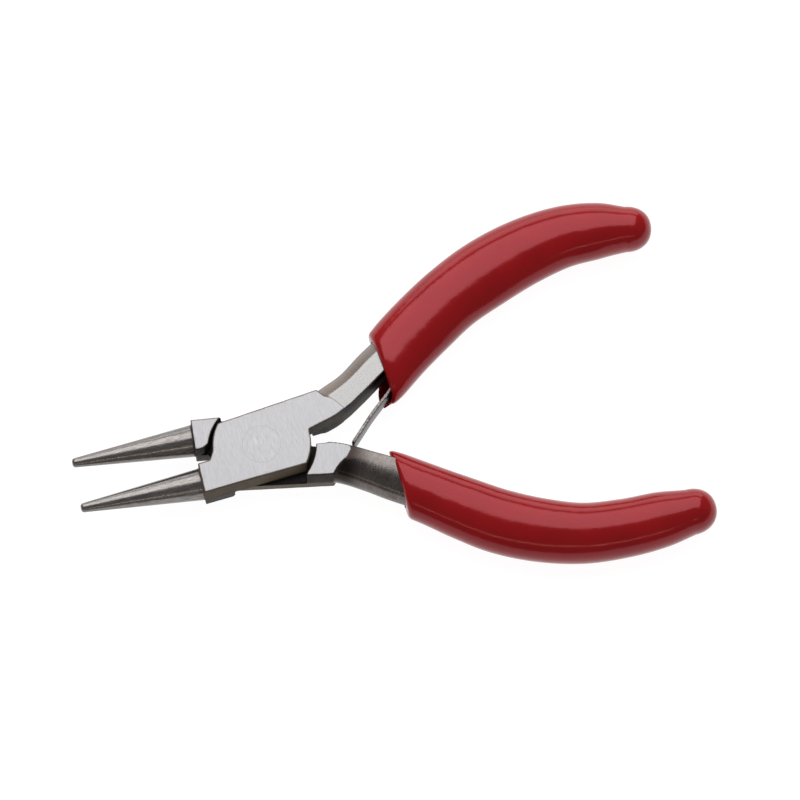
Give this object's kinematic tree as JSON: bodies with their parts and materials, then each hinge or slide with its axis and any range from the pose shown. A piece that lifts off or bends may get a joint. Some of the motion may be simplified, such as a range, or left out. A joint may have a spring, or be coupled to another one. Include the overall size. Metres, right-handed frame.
{
  "type": "round nose pliers",
  "caption": "Small jewellery pliers with tapering round jaws, a ground lap joint with a flush rivet, a leaf return spring and glossy red vinyl grips.",
  "frame": {"origin": "on the pivot rivet's axis, in the plane of the joint's back ground face", "axes": "+Z along the pivot out of the joint's front ground face, +X towards the handles along the line that halves the open jaws, so the jaws point along -X"},
  "size_m": [0.1179, 0.071, 0.0106],
  "materials": {
    "forged_steel": "brushed ground faces, satin forged necks and jaws",
    "rivet_steel": "ground flush",
    "spring_steel": "satin",
    "red_vinyl": "glossy dipped vinyl"
  },
  "bodies": {
    "front": {"front_half": "forged_steel", "pivot_rivet": "rivet_steel", "leaf_spring": "spring_steel", "spring_rivet": "rivet_steel", "upper_grip": "red_vinyl"},
    "back": {"back_half": "forged_steel", "lower_grip": "red_vinyl"}
  },
  "joints": [
    {"name": "pivot", "type": "hinge", "parent": "front", "child": "back", "pos_m": [0, 0, 0.004], "axis": [0, 0, 1], "range_deg": [-8, 11.7], "stiffness_Nm_per_rad": 1.2, "deforming": ["leaf_spring"]}
  ]
}
